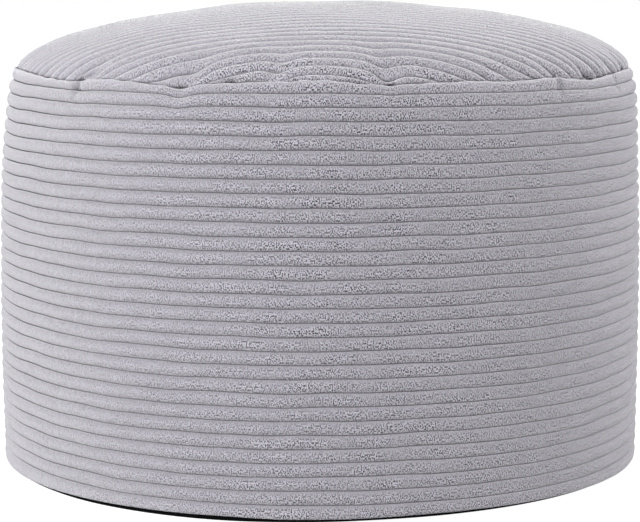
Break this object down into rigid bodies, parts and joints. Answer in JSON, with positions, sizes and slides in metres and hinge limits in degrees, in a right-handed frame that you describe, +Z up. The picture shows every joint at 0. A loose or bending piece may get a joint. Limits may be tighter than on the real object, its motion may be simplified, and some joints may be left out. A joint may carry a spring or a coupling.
{
  "type": "bean bag footstool",
  "caption": "Round filled footstool in wide-wale corduroy: crowned top panel gathered into its seam, upright side band and a flat dark base cloth that rests on the floor.",
  "frame": {"origin": "centre of the flat base, on the surface that the footstool stands on", "axes": "+Z up, -Y towards the front, +X to the right as seen from the front"},
  "size_m": [0.5, 0.5, 0.3549],
  "materials": {
    "corduroy": "light grey wide-wale corduroy, soft upright pile",
    "base_cloth": "black plain-weave base cloth, matt"
  },
  "bodies": {
    "root": {"top_panel": "corduroy", "side_band": "corduroy", "base_panel": "base_cloth"}
  },
  "joints": []
}
